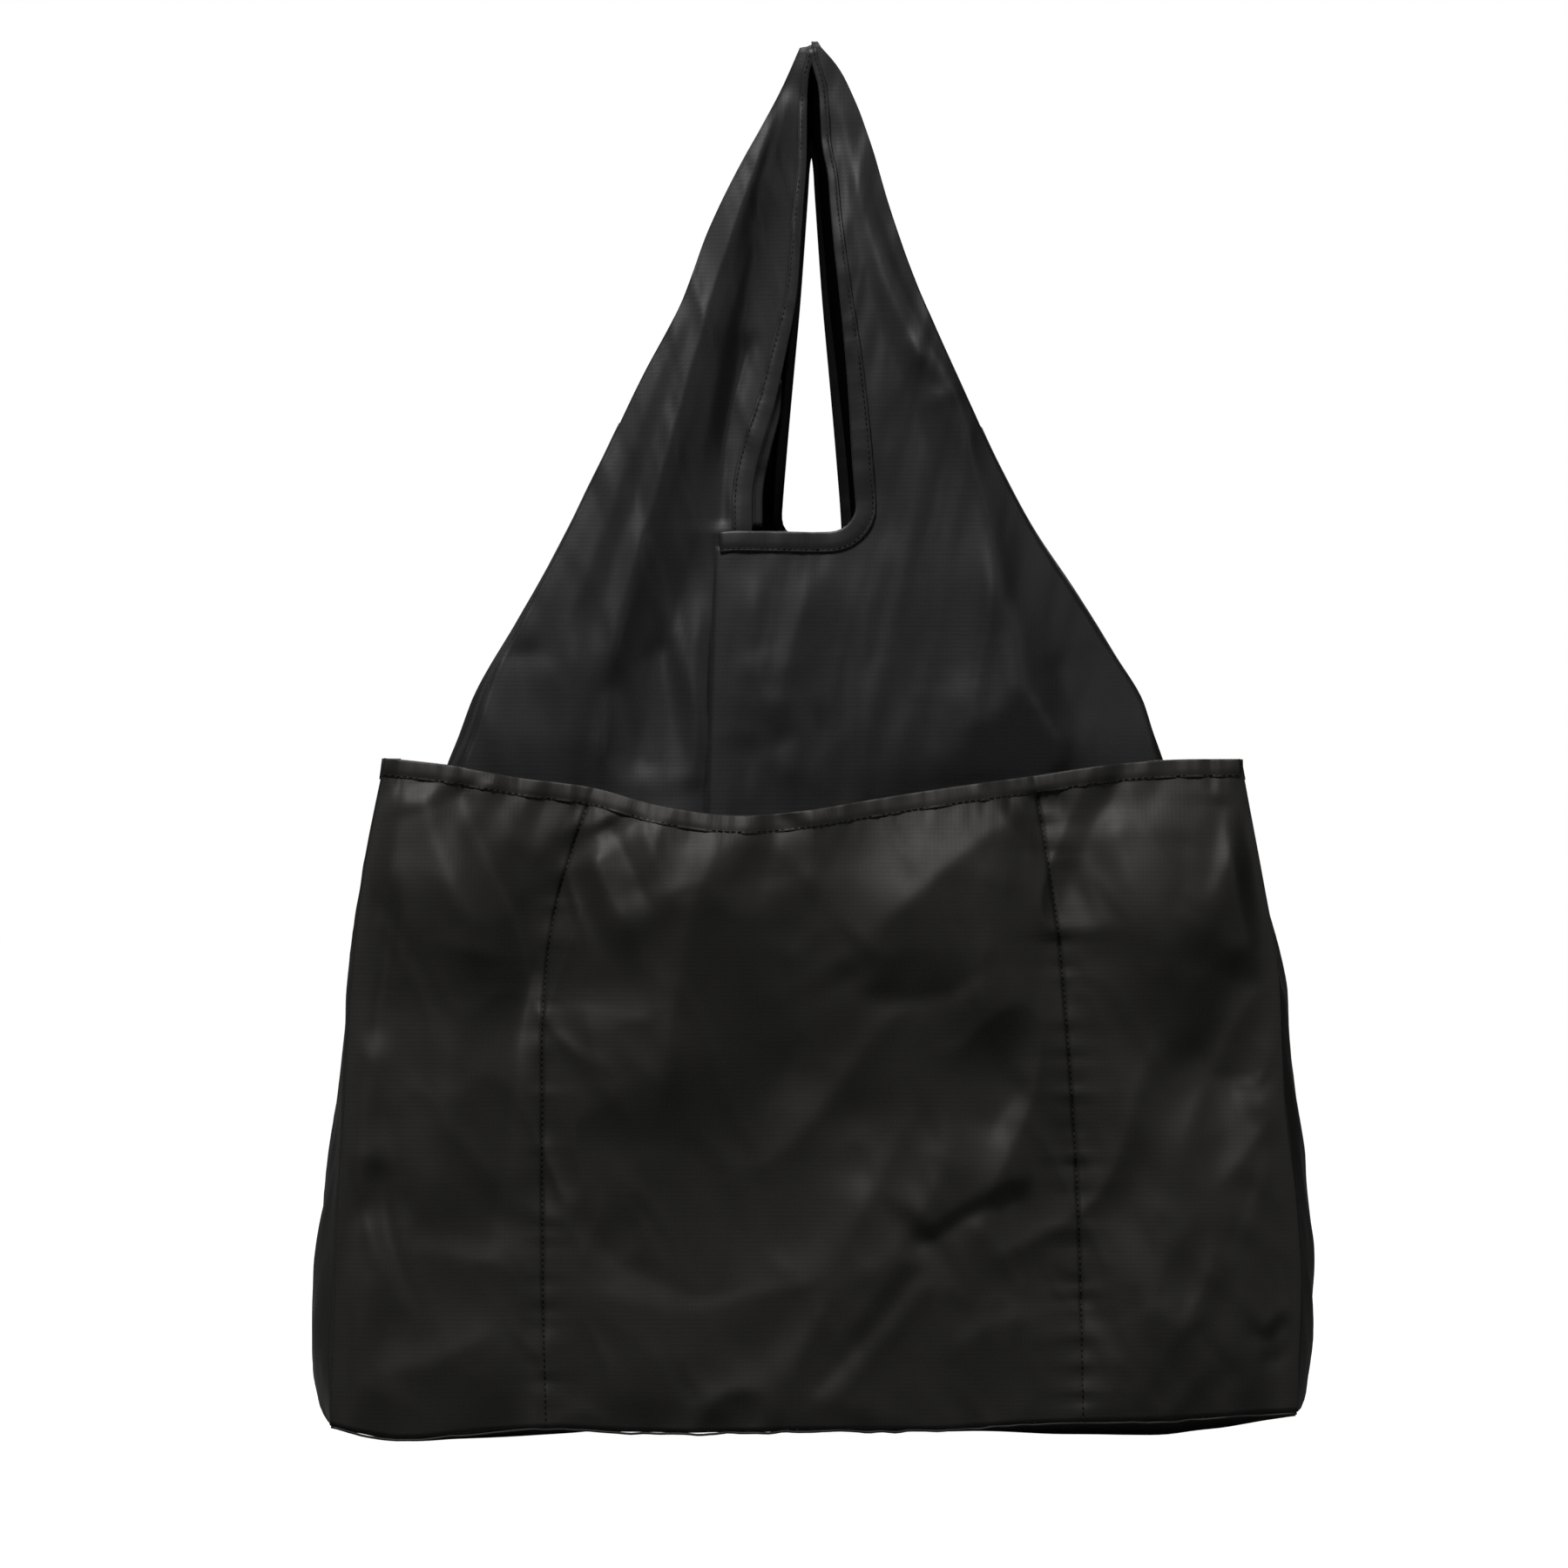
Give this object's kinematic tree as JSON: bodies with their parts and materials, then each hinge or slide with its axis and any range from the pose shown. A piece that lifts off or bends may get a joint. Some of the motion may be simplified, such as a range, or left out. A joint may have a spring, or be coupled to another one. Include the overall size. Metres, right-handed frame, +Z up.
{
  "type": "foldable tote bag",
  "caption": "Soft vest-shaped tote bag with two broad shoulder handles, a bound mouth and a ring of stitched pockets round its gusseted body.",
  "frame": {"origin": "hang_point: the centre of the thin rod that both handles hang on, at the inside top of the handle loops", "axes": "+Z up along the bag's height, +Y from the front to the back, +X to the wearer's right as the front is looked at"},
  "size_m": [0.5144, 0.1512, 0.7096],
  "materials": {
    "body_cloth": "black taffeta with a soft satin sheen",
    "pocket_cloth": "black taffeta with a soft satin sheen, slightly warmer",
    "binding_tape": "matt black woven tape",
    "seam_thread": "black sewing thread"
  },
  "bodies": {
    "front_leaf": {"front_panel": "body_cloth", "front_shoulder_left": "body_cloth", "front_shoulder_right": "body_cloth", "front_neck_binding": "binding_tape", "front_pocket_panel": "pocket_cloth", "front_pocket_hem": "pocket_cloth", "front_pocket_divider_left": "seam_thread", "front_pocket_divider_right": "seam_thread", "gusset_left": "body_cloth", "gusset_right": "body_cloth", "underarm_hem_left": "binding_tape", "underarm_hem_right": "binding_tape", "side_pocket_left": "pocket_cloth", "side_pocket_right": "pocket_cloth", "side_pocket_hem_left": "pocket_cloth", "side_pocket_hem_right": "pocket_cloth", "base_panel": "body_cloth"},
    "back_leaf": {"back_panel": "body_cloth", "back_shoulder_left": "body_cloth", "back_shoulder_right": "body_cloth", "back_neck_binding": "binding_tape", "back_pocket_panel": "pocket_cloth", "back_pocket_hem": "pocket_cloth", "back_pocket_divider_left": "seam_thread", "back_pocket_divider_right": "seam_thread"},
    "handle_left_front": {"front_strap_left": "body_cloth", "front_strap_binding_left": "binding_tape", "front_strap_hem_left": "binding_tape", "handle_crown_left": "body_cloth"},
    "handle_right_front": {"front_strap_right": "body_cloth", "front_strap_binding_right": "binding_tape", "front_strap_hem_right": "binding_tape", "handle_crown_right": "body_cloth"},
    "handle_left_back": {"back_strap_left": "body_cloth", "back_strap_binding_left": "binding_tape", "back_strap_hem_left": "binding_tape"},
    "handle_right_back": {"back_strap_right": "body_cloth", "back_strap_binding_right": "binding_tape", "back_strap_hem_right": "binding_tape"}
  },
  "joints": [
    {"name": "flat_fold", "type": "hinge", "parent": "front_leaf", "child": "back_leaf", "pos_m": [0, 0, 0], "axis": [1, 0, 0], "range_deg": [-7.5, 0], "deforming": ["gusset_left", "gusset_right", "underarm_hem_left", "underarm_hem_right", "side_pocket_left", "side_pocket_right", "side_pocket_hem_left", "side_pocket_hem_right", "base_panel"]},
    {"name": "handle_left_swing", "type": "hinge", "parent": "front_leaf", "child": "handle_left_front", "pos_m": [-0.047, -0.0169, -0.161], "axis": [0, -1, 0], "range_deg": [0, 50]},
    {"name": "handle_right_swing", "type": "hinge", "parent": "front_leaf", "child": "handle_right_front", "pos_m": [0.047, -0.0169, -0.161], "axis": [0, 1, 0], "range_deg": [0, 50]},
    {"name": "handle_left_swing_back", "type": "hinge", "parent": "back_leaf", "child": "handle_left_back", "pos_m": [-0.047, 0.0169, -0.161], "axis": [0, -1, 0], "range_deg": [0, 50]},
    {"name": "handle_right_swing_back", "type": "hinge", "parent": "back_leaf", "child": "handle_right_back", "pos_m": [0.047, 0.0169, -0.161], "axis": [0, 1, 0], "range_deg": [0, 50]}
  ],
  "couplings": [
    {"joint": "handle_left_swing_back", "follows": "handle_left_swing", "ratio": 1},
    {"joint": "handle_right_swing_back", "follows": "handle_right_swing", "ratio": 1}
  ]
}
